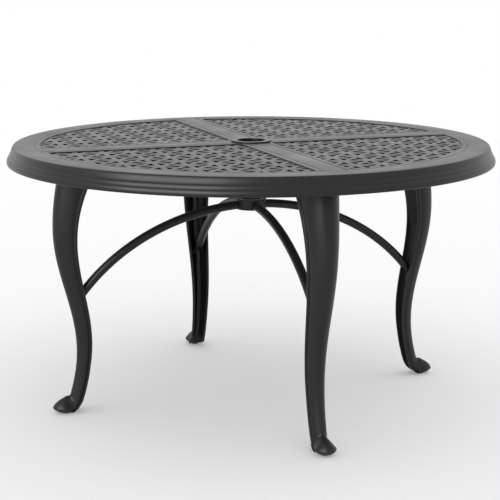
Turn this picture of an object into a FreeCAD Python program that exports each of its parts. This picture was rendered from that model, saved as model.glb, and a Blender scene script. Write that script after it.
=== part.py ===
import FreeCAD, Part
import Sketcher
import math
import os

from FreeCAD import Placement, Rotation, Vector

# Round cast patio coffee table with a lattice top, S-curved legs and an umbrella hole.
# Frame: millimetres, +Z up, origin on the floor under the middle of the top.
# The spokes of the top and the four legs lie on +X (right), +Y (back), -X (left) and -Y (front).

# Driving dimensions: name, value, meaning
SIZES = [
    ("table_height", 578.0, "floor to the flat of the top"),
    ("rim_radius", 533.4, "largest radius, at the lowest reed of the edge"),
    ("rim_depth", 37.0, "depth of the moulded edge"),
    ("rim_wall", 6.5, "thickness of the moulded edge"),
    ("upper_reed_step", 11.9, "top reed inside the largest radius"),
    ("upper_reed_depth", 13.4, "top face to the bottom of the top reed"),
    ("middle_reed_step", 5.4, "middle reed inside the largest radius"),
    ("middle_reed_depth", 22.2, "top face to the bottom of the middle reed"),
    ("lip_round", 5.5, "rounding of the top edge"),
    ("reed_round", 5.0, "rounding of the lower two reeds"),
    ("deck_thickness", 7.0, "thickness of the flat rim"),
    ("frame_depth", 16.0, "top face to the underside of the spokes"),
    ("rim_flat_width", 48.5, "flat rim from the top reed to the seam of the panels"),
    ("spoke_width", 45.0, "width of a spoke between the panels"),
    ("ledge_width", 11.0, "ledge under the edge of a panel"),
    ("ledge_backing", 8.0, "solid ring behind the ledge"),
    ("boss_wall", 5.1, "wall of the centre boss round the umbrella ring"),
    ("boss_ledge", 12.0, "ledge round the centre boss"),
    ("panel_thickness", 7.0, "thickness of a panel's border"),
    ("panel_border", 11.5, "width of a panel's flat border"),
    ("panel_relief", 2.5, "how far the lattice lies below the border"),
    ("seam_gap", 0.8, "gap between a panel and the frame"),
    ("lattice_pitch", 56.5, "spacing of the square bars of the lattice"),
    ("lattice_start", 69.5, "middle of the top to the first square bar"),
    ("lattice_bar", 11.0, "width of a square bar"),
    ("lattice_diagonal", 9.8, "width of a diagonal bar"),
    ("lattice_margin", 1.5, "least land between a hole and the border"),
    ("ring_bore_radius", 31.0, "umbrella hole"),
    ("ring_wall", 4.5, "wall of the umbrella ring's neck"),
    ("ring_spigot_length", 20.0, "neck of the umbrella ring below the top face"),
    ("ring_flange_overlap", 3.4, "flange of the umbrella ring beyond the centre boss"),
    ("ring_flange_height", 3.0, "flange of the umbrella ring above the top face"),
    ("ring_round", 1.2, "rounded edges of the flange"),
    ("ring_clearance", 0.4, "umbrella ring in the boss"),
    ("leg_top_inset", 104.6, "top of a leg inside the largest radius"),
    ("knee_height", 405.5, "height of the knee"),
    ("knee_inset", 84.9, "knee inside the largest radius"),
    ("ankle_height", 141.0, "height of the ankle"),
    ("ankle_inset", 129.8, "ankle inside the largest radius"),
    ("instep_inset", 100.6, "front line of a leg, where it would meet the floor, inside the largest radius"),
    ("leg_top_depth", 76.3, "radial depth of a leg at its top"),
    ("flare_depth", 15.7, "part of that depth that flares out above the knee"),
    ("heel_depth", 24.9, "radial depth of a leg at the floor, before the heel tucks in"),
    ("leg_top_width", 100.0, "width of a leg at its top"),
    ("flare_width", 15.6, "part of that width that flares out above the knee"),
    ("foot_width", 35.9, "width of a leg at the floor"),
    ("heel_height", 24.0, "where the heel starts to tuck in"),
    ("heel_tuck", 14.0, "how far the heel would tuck in at the floor"),
    ("lip_end", 8.0, "where the open edges of a leg end above the floor"),
    ("leg_wall", 5.5, "wall of a leg"),
    ("lip_depth", 5.5, "lip along the open edge of a leg"),
    ("lip_proud", 1.0, "how far the lip stands out"),
    ("rib_thickness", 9.0, "rib down the middle of a leg"),
    ("rib_setback", 7.0, "rib behind the open edge of a leg"),
    ("plate_thickness", 8.0, "top plate of a leg"),
    ("toe_inset", 73.8, "tip of the toe inside the largest radius"),
    ("toe_length", 71.2, "length of the toe's oval"),
    ("toe_width", 42.0, "width of the toe's oval"),
    ("toe_height", 39.0, "top of the toe's crown"),
    ("toe_brim", 15.5, "height of the toe's widest line"),
    ("toe_bulge", 3.4, "how far the toe's crown swells out of a straight cone"),
    ("toe_round", 2.0, "rounding of the toe's widest line"),
    ("sole_height", 1.5, "sole above the floor"),
    ("glide_inset", 102.4, "middle of a glide inside the largest radius"),
    ("glide_radius", 11.0, "glide"),
    ("glide_tall", 18.0, "height of the glide"),
    ("glide_round", 2.0, "rounded foot of the glide"),
    ("glide_clearance", 0.4, "glide in its pocket"),
    ("glide_headroom", 1.0, "pocket above the glide"),
    ("stem_radius", 4.0, "stem of the glide"),
    ("stem_length", 13.0, "stem of the glide"),
    ("hub_height", 437.0, "height of the sockets in the hub"),
    ("hub_rise", 13.6, "hub above the middle of its sockets"),
    ("hub_drop", 9.6, "hub below the middle of its sockets"),
    ("hub_bore_radius", 22.0, "bore of the hub, for the umbrella pole"),
    ("hub_wall", 12.0, "wall of the hub"),
    ("socket_depth", 5.0, "socket in the hub for the spigot of a brace"),
    ("brace_foot_height", 251.7, "height at which a brace is bolted to its leg"),
    ("arch_height", 41.2, "height of the middle of the oval that the braces follow"),
    ("brace_radius", 9.5, "radius of a brace bar"),
    ("brace_spigot_radius", 6.5, "spigot at the upper end of a brace"),
    ("brace_clearance", 0.4, "spigot in its socket"),
    ("hub_gap", 0.3, "upper end of a brace in front of the hub"),
    ("fork_clearance", 0.3, "fork of a brace on the rib"),
    ("bolt_edge", 7.0, "cross bolt to the edge of the rib"),
    ("fork_end", 8.0, "cross bolt to the end of the brace"),
    ("fork_flat_depth", 1.5, "flat cut into the side of a brace under the bolt head"),
    ("leg_bolt_radius", 4.0, "leg bolt"),
    ("leg_bolt_grip", 8.0, "leg bolt inside the frame"),
    ("leg_bolt_inset", 16.0, "open edge of a leg to its inner leg bolts"),
    ("leg_bolt_nose", 26.0, "front of a leg to its outer leg bolts"),
    ("leg_bolt_side", 28.0, "side of a leg to its leg bolts"),
    ("leg_washer_radius", 8.0, "washer of a leg bolt"),
    ("leg_washer_thickness", 1.6, "washer of a leg bolt"),
    ("leg_head_height", 5.3, "head of a leg bolt"),
    ("leg_head_flats", 13.0, "head of a leg bolt across its flats"),
    ("brace_bolt_radius", 3.0, "cross bolt and hub screw"),
    ("brace_head_radius", 5.0, "head of a cross bolt and of a hub screw"),
    ("brace_head_height", 4.0, "head of a cross bolt and of a hub screw"),
    ("brace_nut_flats", 10.0, "nut of a cross bolt across its flats"),
    ("hub_screw_length", 16.0, "hub screw under its head"),
    ("panel_screw_radius", 2.5, "panel screw"),
    ("panel_screw_grip", 4.5, "panel screw inside the panel"),
    ("panel_screw_inset", 6.0, "panel screw from the seam"),
    ("panel_screw_reach", 230.0, "panel screw along a spoke"),
    ("panel_screw_angle", 30.0, "panel screw along the rim, in degrees from a spoke"),
    ("panel_head_radius", 4.5, "head of a panel screw"),
    ("panel_head_height", 3.0, "head of a panel screw"),
    ("screw_clearance", 0.25, "bolts and screws in their holes"),
]
SIDES = ["right", "back", "left", "front"]
CORNERS = ["back_right", "back_left", "front_left", "front_right"]
QUARTER = 90.0

doc = FreeCAD.newDocument("coffee_table")
sheet = doc.addObject("Spreadsheet::Sheet", "Sizes")
for row, (alias, value, meaning) in enumerate(SIZES, start=1):
    sheet.set("A%d" % row, meaning)
    sheet.set("B%d" % row, str(value))
    sheet.setAlias("B%d" % row, alias)
doc.recompute()


def size(alias):
    """A driving dimension, read from the sheet."""
    return float(sheet.get(alias))


def worked_out(expression):
    """The value of an expression over the sheet's names."""
    return float(sheet.evalExpression(expression))


def turned(index):
    """The placement that turns a piece made on +X to one of the four sides."""
    return Placement(Vector(), Rotation(Vector(0, 0, 1), QUARTER * index))


# Sketch helpers for the turned and padded pieces

def origin_feature(body, role):
    return next(item for item in body.Origin.OriginFeatures if item.Role == role)


def new_sketch(body, name, role, height=None):
    """A sketch on one of the body's own planes, lifted by an expression."""
    sketch = body.newObject("Sketcher::SketchObject", name)
    sketch.AttachmentSupport = [(origin_feature(body, role), "")]
    sketch.MapMode = "FlatFace"
    if height:
        sketch.setExpression("AttachmentOffset.Base.z", height)
    return sketch


def fix_point(sketch, geometry, point, across, along):
    """Tie a point of the sketch to its two expressions."""
    for kind, expression in (("DistanceX", across), ("DistanceY", along)):
        rule = Sketcher.Constraint(kind, -1, 1, geometry, point, worked_out(expression))
        sketch.setExpression("Constraints[%d]" % sketch.addConstraint(rule), expression)


def draw_outline(sketch, corners):
    """A closed run of straight lines through corners given as pairs of expressions."""
    points = [Vector(worked_out(across), worked_out(along), 0) for across, along in corners]
    count = len(points)
    for index in range(count):
        sketch.addGeometry(Part.LineSegment(points[index], points[(index + 1) % count]))
    for index, (across, along) in enumerate(corners):
        sketch.addConstraint(Sketcher.Constraint("Coincident", index - 1 if index else count - 1, 2, index, 1))
        fix_point(sketch, index, 1, across, along)


def draw_circle(sketch, radius, across=None, along=None):
    """A circle about the origin, or about a point given as two expressions."""
    middle = Vector(worked_out(across), worked_out(along), 0) if across else Vector()
    circle = sketch.addGeometry(Part.Circle(middle, Vector(0, 0, 1), worked_out(radius)))
    rule = sketch.addConstraint(Sketcher.Constraint("Radius", circle, worked_out(radius)))
    sketch.setExpression("Constraints[%d]" % rule, radius)
    if across:
        fix_point(sketch, circle, 3, across, along)
    else:
        sketch.addConstraint(Sketcher.Constraint("Coincident", circle, 3, -1, 1))


def grow(body, kind, name, sketch, length, reverse=False):
    """A pad or a pocket whose length is an expression."""
    feature = body.newObject("PartDesign::" + kind, name)
    feature.Profile = sketch
    feature.setExpression("Length", length)
    feature.Reversed = reverse
    body.Tip = feature
    return feature


def spin(body, name, sketch):
    """A full turn of a profile about the vertical axis."""
    feature = body.newObject("PartDesign::Revolution", name)
    feature.Profile = sketch
    feature.ReferenceAxis = (sketch, ["V_Axis"])
    feature.Angle = 360
    body.Tip = feature
    return feature


def four_times(body, name, feature):
    """Repeat a feature round the vertical axis on all four sides."""
    pattern = body.newObject("PartDesign::PolarPattern", name)
    pattern.Originals = [feature]
    pattern.Axis = (origin_feature(body, "Z_Axis"), [""])
    pattern.Angle = 360
    pattern.Occurrences = 4
    body.Tip = pattern


def round_edges(body, name, rings, radius):
    """Round the circular edges that have the given radii and heights."""
    doc.recompute()
    base = body.Tip
    names = []
    for index, edge in enumerate(base.Shape.Edges, start=1):
        if edge.Curve.TypeId != "Part::GeomCircle":
            continue
        for ring_radius, ring_height in rings:
            off_radius = abs(edge.Curve.Radius - worked_out(ring_radius))
            off_height = abs(edge.Curve.Center.z - worked_out(ring_height))
            if off_radius < 1e-4 and off_height < 1e-4:
                names.append("Edge%d" % index)
    fillet = body.newObject("PartDesign::Fillet", name)
    fillet.Base = (base, names)
    fillet.setExpression("Radius", radius)
    body.Tip = fillet


# Heights and lines that several pieces share

TOP = "Sizes.table_height"
SEAT = "Sizes.table_height - Sizes.panel_thickness"
UNDERSIDE = "Sizes.table_height - Sizes.frame_depth"
UPPER_REED = "Sizes.table_height - Sizes.upper_reed_depth"
MIDDLE_REED = "Sizes.table_height - Sizes.middle_reed_depth"
RIM_FOOT = "Sizes.table_height - Sizes.rim_depth"
UPPER_REED_RADIUS = "(Sizes.rim_radius - Sizes.upper_reed_step)"
MIDDLE_REED_RADIUS = "(Sizes.rim_radius - Sizes.middle_reed_step)"
SEAM_RADIUS = "(Sizes.rim_radius - Sizes.upper_reed_step - Sizes.rim_flat_width)"
SPIGOT_RADIUS = "(Sizes.ring_bore_radius + Sizes.ring_wall)"
BOSS_RADIUS = "(Sizes.ring_bore_radius + Sizes.ring_wall + Sizes.ring_clearance + Sizes.boss_wall)"
LEG_TOP_REACH = "Sizes.rim_radius - Sizes.leg_top_inset"
LEG_BOLT_ROWS = [
    LEG_TOP_REACH + " - Sizes.leg_top_depth + Sizes.leg_bolt_inset",
    LEG_TOP_REACH + " - Sizes.leg_bolt_nose",
]
LEG_BOLT_LINE = "(Sizes.leg_top_width / 2 - Sizes.leg_bolt_side)"
SPOKE_SCREW_LINE = "Sizes.spoke_width / 2 + Sizes.panel_screw_inset"
RIM_SCREW_REACH = "(%s - Sizes.panel_screw_inset)" % SEAM_RADIUS
PANEL_SCREWS = [
    ("Sizes.panel_screw_reach", SPOKE_SCREW_LINE),
    (SPOKE_SCREW_LINE, "Sizes.panel_screw_reach"),
    (RIM_SCREW_REACH + " * cos(Sizes.panel_screw_angle * 1 deg)",
     RIM_SCREW_REACH + " * sin(Sizes.panel_screw_angle * 1 deg)"),
    (RIM_SCREW_REACH + " * sin(Sizes.panel_screw_angle * 1 deg)",
     RIM_SCREW_REACH + " * cos(Sizes.panel_screw_angle * 1 deg)"),
]
top = worked_out(TOP)
seat = worked_out(SEAT)
underside = worked_out(UNDERSIDE)
rim_radius = size("rim_radius")
seam_radius = worked_out(SEAM_RADIUS)


# Top frame: the turned rim, the cross of spokes and the centre boss are one casting

def cross_corners(half_width, half_length):
    """The twelve corners of a cross with its arms on the axes."""
    first_quarter = [(half_length, half_width), (half_width, half_width), (half_width, half_length)]
    corners = []
    for index in range(4):
        for across, along in first_quarter:
            turns = [(across, along), ("-(%s)" % along, across),
                     ("-(%s)" % across, "-(%s)" % along), (along, "-(%s)" % across)]
            corners.append(turns[index])
    return corners


def make_top_frame():
    body = doc.addObject("PartDesign::Body", "top_frame")
    rim = new_sketch(body, "rim_profile", "XZ_Plane")
    ledge_edge = SEAM_RADIUS + " - Sizes.ledge_width"
    ledge_back = SEAM_RADIUS + " + Sizes.ledge_backing"
    deck_under = "Sizes.table_height - Sizes.deck_thickness"
    draw_outline(rim, [
        (ledge_edge, SEAT),
        (ledge_edge, UNDERSIDE),
        (ledge_back, UNDERSIDE),
        (ledge_back, deck_under),
        (UPPER_REED_RADIUS + " - Sizes.rim_wall", deck_under),
        ("Sizes.rim_radius - Sizes.rim_wall", RIM_FOOT),
        ("Sizes.rim_radius", RIM_FOOT),
        ("Sizes.rim_radius", MIDDLE_REED),
        (MIDDLE_REED_RADIUS, MIDDLE_REED),
        (MIDDLE_REED_RADIUS, UPPER_REED),
        (UPPER_REED_RADIUS, UPPER_REED),
        (UPPER_REED_RADIUS, TOP),
        (SEAM_RADIUS, TOP),
        (SEAM_RADIUS, SEAT),
    ])
    spin(body, "rim", rim)
    round_edges(body, "lip_rounding", [(UPPER_REED_RADIUS, TOP)], "Sizes.lip_round")
    reeds = [(MIDDLE_REED_RADIUS, UPPER_REED), ("Sizes.rim_radius", MIDDLE_REED)]
    round_edges(body, "reed_rounding", reeds, "Sizes.reed_round")

    spokes = new_sketch(body, "spoke_outline", "XY_Plane", TOP)
    spoke_end = SEAM_RADIUS + " + Sizes.ledge_backing / 2"
    draw_outline(spokes, cross_corners("Sizes.spoke_width / 2", spoke_end))
    grow(body, "Pad", "spokes", spokes, "Sizes.panel_thickness", True)
    ledges = new_sketch(body, "ledge_outline", "XY_Plane", SEAT)
    draw_outline(ledges, cross_corners("Sizes.spoke_width / 2 + Sizes.ledge_width", spoke_end))
    grow(body, "Pad", "ledges", ledges, "Sizes.frame_depth - Sizes.panel_thickness", True)
    boss = new_sketch(body, "boss_outline", "XY_Plane", TOP)
    draw_circle(boss, BOSS_RADIUS)
    grow(body, "Pad", "boss", boss, "Sizes.frame_depth", True)
    boss_ledge = new_sketch(body, "boss_ledge_outline", "XY_Plane", SEAT)
    draw_circle(boss_ledge, BOSS_RADIUS + " + Sizes.boss_ledge")
    grow(body, "Pad", "boss_seat", boss_ledge, "Sizes.frame_depth - Sizes.panel_thickness", True)

    bore = new_sketch(body, "bore_outline", "XY_Plane", TOP)
    draw_circle(bore, SPIGOT_RADIUS + " + Sizes.ring_clearance")
    grow(body, "Pocket", "bore", bore, "Sizes.frame_depth")
    leg_holes = new_sketch(body, "leg_hole_outline", "XY_Plane", UNDERSIDE)
    for row in LEG_BOLT_ROWS:
        for line in (LEG_BOLT_LINE, "-" + LEG_BOLT_LINE):
            draw_circle(leg_holes, "Sizes.leg_bolt_radius + Sizes.screw_clearance", row, line)
    depth = "Sizes.leg_bolt_grip + Sizes.screw_clearance"
    four_times(body, "leg_holes", grow(body, "Pocket", "leg_hole_set", leg_holes, depth, True))
    screw_holes = new_sketch(body, "screw_hole_outline", "XY_Plane", UNDERSIDE)
    for across, along in PANEL_SCREWS:
        draw_circle(screw_holes, "Sizes.panel_screw_radius + Sizes.screw_clearance", across, along)
    depth = "Sizes.frame_depth - Sizes.panel_thickness"
    four_times(body, "screw_holes", grow(body, "Pocket", "screw_hole_set", screw_holes, depth, True))
    return body


# Lattice panel: a quarter plate with a sunken lattice of squares and both diagonals

def quarter_face(inset, height, boss_radius=None):
    """A quarter of the top, drawn in from the seam, with its inner corner square or cut round the boss."""
    near = size("spoke_width") / 2 + size("seam_gap") + inset
    far = seam_radius - size("seam_gap") - inset
    reach = math.sqrt(far ** 2 - near ** 2)
    middle = far / math.sqrt(2)
    rim = Part.Arc(Vector(reach, near, height), Vector(middle, middle, height), Vector(near, reach, height))
    if boss_radius:
        start = math.sqrt(boss_radius ** 2 - near ** 2)
        bulge = boss_radius / math.sqrt(2)
        corner = [Part.Arc(Vector(near, start, height), Vector(bulge, bulge, height),
                           Vector(start, near, height)).toShape()]
    else:
        start = near
        corner = []
    edges = [Part.makeLine(Vector(start, near, height), Vector(reach, near, height)), rim.toShape(),
             Part.makeLine(Vector(near, reach, height), Vector(near, start, height))] + corner
    return Part.Face(Part.Wire(edges))


def lattice_holes(height):
    """The triangles left between square bars and diagonals, four to a square, trimmed at the border."""
    pitch = size("lattice_pitch")
    bar = size("lattice_bar") / 2
    slant = size("lattice_diagonal") / math.sqrt(2)
    land = quarter_face(size("panel_border") + size("lattice_margin"), height)
    least_area = size("lattice_bar") ** 2 / 4
    touching = 1e-6
    half = pitch / 2
    corners = [Vector(bar + slant - half, bar - half, 0), Vector(half - bar - slant, bar - half, 0),
               Vector(0, -slant, 0)]
    triangle = Part.Face(Part.makePolygon(corners + corners[:1]))
    squares = int(seam_radius / pitch) + 1
    holes = []
    for column in range(-1, squares):
        for line in range(-1, squares):
            middle = Vector(size("lattice_start") + (column + 0.5) * pitch,
                            size("lattice_start") + (line + 0.5) * pitch, height)
            for side in range(4):
                hole = triangle.copy()
                hole.Placement = Placement(middle, Rotation(Vector(0, 0, 1), QUARTER * side))
                if hole.distToShape(land)[0] < touching:
                    holes += [part for part in hole.common(land).Faces if part.Area > least_area]
    return holes


def make_panel_shape():
    boss = worked_out(BOSS_RADIUS) + size("seam_gap")
    plate = quarter_face(0, seat, boss).extrude(Vector(0, 0, size("panel_thickness")))
    sunken = quarter_face(size("panel_border"), top - size("panel_relief"))
    plate = plate.cut(sunken.extrude(Vector(0, 0, size("panel_relief"))))
    floor = seat - size("panel_relief")
    cuts = [hole.extrude(Vector(0, 0, size("panel_thickness"))) for hole in lattice_holes(floor)]
    radius = size("panel_screw_radius") + size("screw_clearance")
    for across, along in PANEL_SCREWS:
        foot = Vector(worked_out(across), worked_out(along), seat)
        cuts.append(Part.makeCylinder(radius, size("panel_screw_grip") + size("screw_clearance"), foot))
    return plate.cut(Part.makeCompound(cuts))


# Umbrella ring: a turned collar that drops into the boss

def make_umbrella_ring():
    body = doc.addObject("PartDesign::Body", "umbrella_ring")
    profile = new_sketch(body, "ring_profile", "XZ_Plane")
    spigot_foot = "Sizes.table_height - Sizes.ring_spigot_length"
    flange_top = "Sizes.table_height + Sizes.ring_flange_height"
    flange_edge = BOSS_RADIUS + " + Sizes.ring_flange_overlap"
    draw_outline(profile, [
        ("Sizes.ring_bore_radius", spigot_foot),
        (SPIGOT_RADIUS, spigot_foot),
        (SPIGOT_RADIUS, TOP),
        (flange_edge, TOP),
        (flange_edge, flange_top),
        ("Sizes.ring_bore_radius", flange_top),
    ])
    spin(body, "ring", profile)
    rims = [(flange_edge, flange_top), ("Sizes.ring_bore_radius", flange_top)]
    round_edges(body, "ring_rounding", rims, "Sizes.ring_round")
    return body


# Leg: its lines are worked out from the knee, the ankle and the heel

def level_both_ends(share):
    return (1 - math.cos(math.pi * share)) / 2


def level_first_end(share):
    return 1 - math.cos(math.pi * share / 2)


def leg_reach(height):
    """Outermost radius of a leg: top to knee to ankle to floor, each a stretch of a cosine."""
    knee = size("knee_height")
    ankle = size("ankle_height")
    if height > knee:
        share = level_first_end((height - knee) / (underside - knee))
        inset = size("knee_inset") + (size("leg_top_inset") - size("knee_inset")) * share
    elif height > ankle:
        share = level_both_ends((height - ankle) / (knee - ankle))
        inset = size("ankle_inset") + (size("knee_inset") - size("ankle_inset")) * share
    else:
        share = level_first_end((ankle - height) / ankle)
        inset = size("ankle_inset") + (size("instep_inset") - size("ankle_inset")) * share
    return rim_radius - inset


def leg_swell(height, at_floor, at_top, flare, power):
    """A size of a leg that swells from the floor to its top and flares out above the knee."""
    knee = size("knee_height")
    flared = max(0.0, (height - knee) / (underside - knee)) ** 2
    return at_floor + (at_top - flare - at_floor) * (height / underside) ** power + flare * flared


def leg_width(height):
    power = 1.72
    return leg_swell(height, size("foot_width"), size("leg_top_width"), size("flare_width"), power)


def leg_open_edge(height):
    """Radius of the open inner edge, with the heel tucked in like a quarter oval."""
    power = 1.4
    depth = leg_swell(height, size("heel_depth"), size("leg_top_depth"), size("flare_depth"), power)
    drop = max(0.0, 1 - height / size("heel_height"))
    return leg_reach(height) - depth + size("heel_tuck") * (1 - math.sqrt(1 - drop ** 2))


def oval_arc(edge, along, across, height, start, end):
    """Part of an oval about the open edge of a leg, between two angles in degrees from its nose."""
    unit = Part.makeCircle(1.0, Vector(), Vector(0, 0, 1), min(start, end), max(start, end))
    stretch = FreeCAD.Matrix()
    stretch.scale(along, across, 1.0)
    stretch.move(Vector(edge, 0, height))
    return unit.transformGeometry(stretch)


def leg_outline(height):
    """Named lines of a leg's cross section at a height."""
    edge = leg_open_edge(height)
    depth = leg_reach(height) - edge
    half = leg_width(height) / 2
    oval = half - size("lip_proud")
    lip_angle = math.degrees(math.acos(size("lip_depth") / depth))
    neck = oval * math.sin(math.radians(lip_angle))
    return {"edge": edge, "depth": depth, "oval": oval, "lip_angle": lip_angle, "neck": neck,
            "lip": neck + size("lip_proud"), "hollow": neck + size("lip_proud") - size("leg_wall"),
            "hollow_depth": depth - size("leg_wall"), "rib_front": edge + size("rib_setback")}


def line_run(points, height):
    places = [Vector(across, along, height) for across, along in points]
    return [Part.makeLine(first, second) for first, second in zip(places, places[1:])]


def skin_edges(height):
    """The outside of a leg from one open edge round the nose to the other, with the lips."""
    cut = leg_outline(height)
    edge, lip, neck = cut["edge"], cut["lip"], cut["neck"]
    back = edge + size("lip_depth")
    edges = line_run([(edge, lip), (back, lip), (back, neck)], height)
    for start, end in ((cut["lip_angle"], 0.0), (0.0, -cut["lip_angle"])):
        edges.append(oval_arc(edge, cut["depth"], cut["oval"], height, start, end))
    return edges + line_run([(back, -neck), (back, -lip), (edge, -lip)], height)


def channel_wire(height):
    """A leg's whole section: the skin, the two edges, the hollow and the rib in its middle."""
    cut = leg_outline(height)
    rib = size("rib_thickness") / 2
    rib_angle = math.degrees(math.asin(rib / cut["hollow"]))
    rib_root = cut["edge"] + cut["hollow_depth"] * math.cos(math.radians(rib_angle))
    edges = skin_edges(height)
    edges += line_run([(cut["edge"], -cut["lip"]), (cut["edge"], -cut["hollow"])], height)
    edges.append(oval_arc(cut["edge"], cut["hollow_depth"], cut["hollow"], height, -QUARTER, -rib_angle))
    edges += line_run([(rib_root, -rib), (cut["rib_front"], -rib), (cut["rib_front"], rib), (rib_root, rib)],
                      height)
    edges.append(oval_arc(cut["edge"], cut["hollow_depth"], cut["hollow"], height, QUARTER, rib_angle))
    edges += line_run([(cut["edge"], cut["hollow"]), (cut["edge"], cut["lip"])], height)
    return Part.Wire(edges)


def leg_heights():
    """Section heights: each stretch between named heights is split evenly."""
    stretches = [(size("lip_end"), size("heel_height"), 2), (size("heel_height"), size("ankle_height"), 4),
                 (size("ankle_height"), size("knee_height"), 5), (size("knee_height"), underside, 4)]
    heights = [low + (high - low) * step / steps for low, high, steps in stretches for step in range(steps)]
    return heights + [underside]


def make_toe():
    """The toe: a bowl below and a swelling cone above its brim, turned and then narrowed to an oval."""
    half = size("toe_length") / 2
    brim = size("toe_brim")
    crown = size("toe_height")
    slope = Vector(crown - brim, 0, half).normalize()
    bulge = Vector(half / 2, 0, (brim + crown) / 2) + slope * size("toe_bulge")
    low = half * math.sin(math.radians(QUARTER / 2))
    bowl = Part.Arc(Vector(0, 0, 0), Vector(low, 0, brim - brim * math.cos(math.radians(QUARTER / 2))),
                    Vector(half, 0, brim))
    dome = Part.Arc(Vector(half, 0, brim), bulge, Vector(0, 0, crown))
    spine = Part.makeLine(Vector(0, 0, crown), Vector(0, 0, 0))
    profile = Part.Face(Part.Wire([bowl.toShape(), dome.toShape(), spine]))
    turned_toe = profile.revolve(Vector(), Vector(0, 0, 1), 360)
    brim_edges = [edge for edge in turned_toe.Edges if edge.Closed and not edge.Degenerated]
    turned_toe = turned_toe.makeFillet(size("toe_round"), brim_edges)
    narrow = FreeCAD.Matrix()
    narrow.scale(1.0, size("toe_width") / size("toe_length"), 1.0)
    narrow.move(Vector(rim_radius - size("toe_inset") - half, 0, 0))
    return turned_toe.transformGeometry(narrow)


def make_leg_shape():
    channel = Part.makeLoft([channel_wire(height) for height in leg_heights()], True, False)
    cut = leg_outline(underside)
    rim = line_run([(cut["edge"], -cut["lip"]), (cut["edge"], cut["lip"])], underside)
    plate = Part.Face(Part.Wire(skin_edges(underside) + rim)).extrude(Vector(0, 0, -size("plate_thickness")))

    pocket_radius = size("glide_radius") + size("glide_clearance")
    glide_foot = Vector(rim_radius - size("glide_inset"), 0, 0)
    toe_back = glide_foot.x - pocket_radius - size("leg_wall")
    keep_corner = Vector(toe_back, -rim_radius / 2, size("sole_height"))
    keep = Part.makeBox(rim_radius, rim_radius, rim_radius, keep_corner)
    leg = channel.fuse([plate, make_toe().common(keep)])

    sole = Part.makeBox(rim_radius, rim_radius, size("sole_height"), Vector(0, -rim_radius / 2, 0))
    pocket_top = size("glide_tall") + size("glide_headroom")
    stem_top = size("glide_tall") + size("stem_length") + size("glide_headroom")
    cuts = [sole, Part.makeCylinder(pocket_radius, pocket_top, glide_foot),
            Part.makeCylinder(size("stem_radius") + size("glide_clearance"), stem_top, glide_foot)]
    hole = size("leg_bolt_radius") + size("screw_clearance")
    for place in leg_bolt_places():
        cuts.append(Part.makeCylinder(hole, size("plate_thickness"), place, Vector(0, 0, -1)))
    cross_hole = size("brace_bolt_radius") + size("screw_clearance")
    cuts.append(Part.makeCylinder(cross_hole, size("rib_thickness"),
                                  brace_bolt - Vector(0, size("rib_thickness") / 2, 0), Vector(0, 1, 0)))
    return leg.cut(Part.makeCompound(cuts))


def leg_bolt_places():
    """Where the four leg bolts of the +X leg meet the underside of the frame."""
    half = worked_out(LEG_BOLT_LINE)
    return [Vector(worked_out(row), line, underside) for row in LEG_BOLT_ROWS for line in (half, -half)]


# Brace: a round bar bent along an oval about the table's axis, with a spigot in the hub and a fork
# over the rib of its leg

hub_height = size("hub_height")
hub_radius = size("hub_bore_radius") + size("hub_wall")
socket_floor = hub_radius - size("socket_depth")
fork_flat = size("brace_radius") - size("fork_flat_depth")
brace_foot = size("brace_foot_height")
brace_bolt = Vector(leg_open_edge(brace_foot) + size("rib_setback") + size("bolt_edge"), 0, brace_foot)
# The oval's two half lengths are the ones that take it past the edge of the hub and the cross bolt.
arch_height = size("arch_height")
near_rise = hub_height - arch_height
far_rise = brace_foot - arch_height
arch_product = (brace_bolt.x * near_rise) ** 2 - (hub_radius * far_rise) ** 2
arch_reach = math.sqrt(arch_product / (near_rise ** 2 - far_rise ** 2))
arch_rise = math.sqrt(arch_product / (brace_bolt.x ** 2 - hub_radius ** 2))


def arch_point(turn):
    """A point on the middle line of the +X brace, by its turn from the top of the oval."""
    return Vector(arch_reach * math.sin(turn), 0, arch_height + arch_rise * math.cos(turn))


def arch_heading(turn):
    """How the middle line runs there, for one unit of turn."""
    return Vector(arch_reach * math.cos(turn), 0, -arch_rise * math.sin(turn))


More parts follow.
